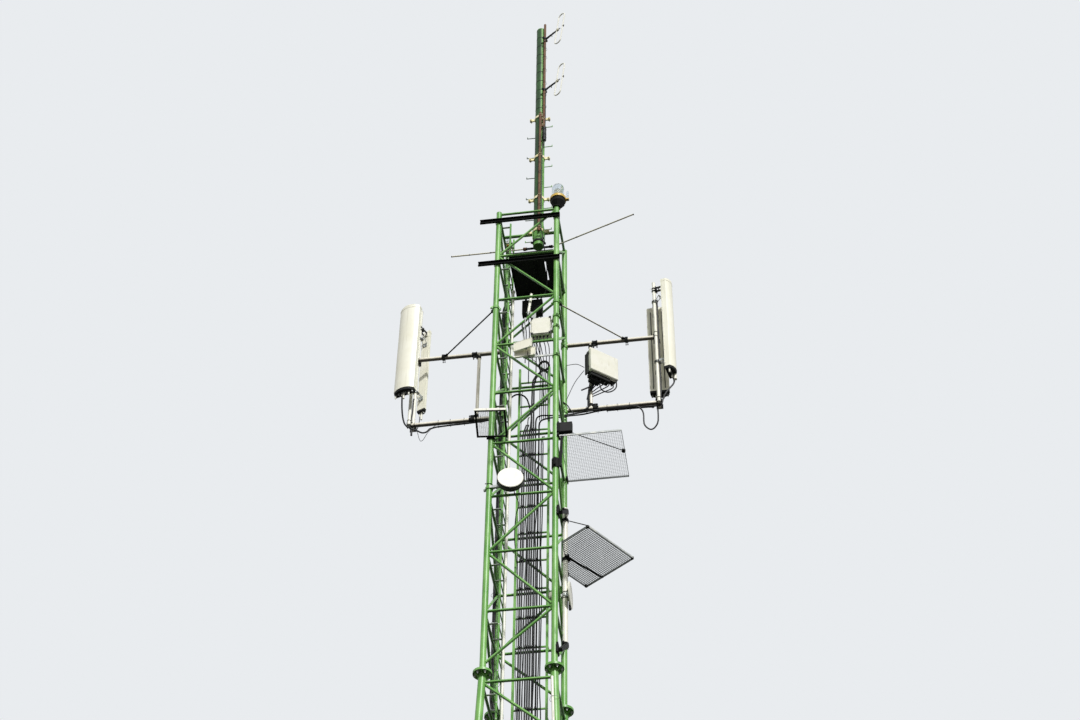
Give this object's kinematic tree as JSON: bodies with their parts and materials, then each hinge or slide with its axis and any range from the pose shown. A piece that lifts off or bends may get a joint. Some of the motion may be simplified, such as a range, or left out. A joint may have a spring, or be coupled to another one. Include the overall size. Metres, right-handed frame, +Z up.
{
  "type": "lattice cell tower",
  "caption": "Self-supporting lattice mast of green tube with a pole, side booms, panel aerials, small dishes, ladders and ice shields.",
  "frame": {"origin": "middle of the four base plates, on their undersides", "axes": "+Z up, +X to the right along the front face, -Y out of the front face"},
  "size_m": [5.1069, 2.66, 36.58],
  "materials": {
    "green_paint": "satin green paint over galvanised steel tube",
    "galvanised_steel": "dull galvanised steel",
    "dark_painted_steel": "matt dark paint",
    "cream_painted_steel": "cream paint, slightly worn",
    "rusty_steel": "rusted steel pipe",
    "aluminium_rod": "drawn aluminium rod",
    "black_plastic": "black moulded plastic",
    "cable_sheath": "black polyethylene cable sheath",
    "yellow_casting": "yellow enamelled casting",
    "clear_dome": "clear polycarbonate lens",
    "cream_fibreglass": "weathered off-white fibreglass",
    "cream_casting": "off-white powder coat on castings"
  },
  "bodies": {
    "root": {"base_frame": "galvanised_steel", "legs_low": "green_paint", "legs_mid": "green_paint", "legs_high": "green_paint", "legs_top": "green_paint", "front_bracing_low": "green_paint", "right_bracing_low": "green_paint", "rear_bracing_low": "green_paint", "left_bracing_low": "green_paint", "front_bracing_top": "green_paint", "right_bracing_top": "green_paint", "rear_bracing_top": "green_paint", "left_bracing_top": "green_paint", "top_beams": "dark_painted_steel", "platform": "dark_painted_steel", "junction_boxes": "black_plastic", "pole_support": "green_paint", "pole": "green_paint", "pole_clamps": "cream_painted_steel", "aerial_pipes": "rusty_steel", "dipole_booms": "black_plastic", "dipole_loops": "aluminium_rod", "rod_hub": "black_plastic", "rod_arms": "aluminium_rod", "light_bowls": "dark_painted_steel", "light_rings": "yellow_casting", "light_domes": "clear_dome", "climbing_ladder": "green_paint", "ladder_straps": "galvanised_steel", "conduit": "cream_painted_steel", "cable_ladder": "galvanised_steel", "feeder_cables": "cable_sheath", "left_booms": "galvanised_steel", "right_booms": "galvanised_steel", "boom_stays": "dark_painted_steel", "mount_pipes": "cream_painted_steel", "panel_brackets": "galvanised_steel", "left_front_panel": "cream_fibreglass", "left_rear_panel": "cream_fibreglass", "right_front_panel": "cream_fibreglass", "right_rear_panel": "cream_fibreglass", "panel_caps": "black_plastic", "remote_radio": "cream_casting", "radio_box": "cream_casting", "flat_aerials": "cream_fibreglass", "whip_aerial": "cream_fibreglass", "drum_dish": "cream_casting", "side_dish": "cream_casting", "small_brackets": "galvanised_steel", "side_pipe": "cream_painted_steel", "side_pipe_braces": "dark_painted_steel", "left_shield": "dark_painted_steel", "upper_shield": "dark_painted_steel", "lower_shield": "dark_painted_steel", "shield_brackets": "dark_painted_steel", "left_jumpers": "cable_sheath", "right_jumpers": "cable_sheath", "mast_jumpers": "cable_sheath", "pole_cables": "cable_sheath", "tilt_units": "cream_casting"}
  },
  "joints": []
}
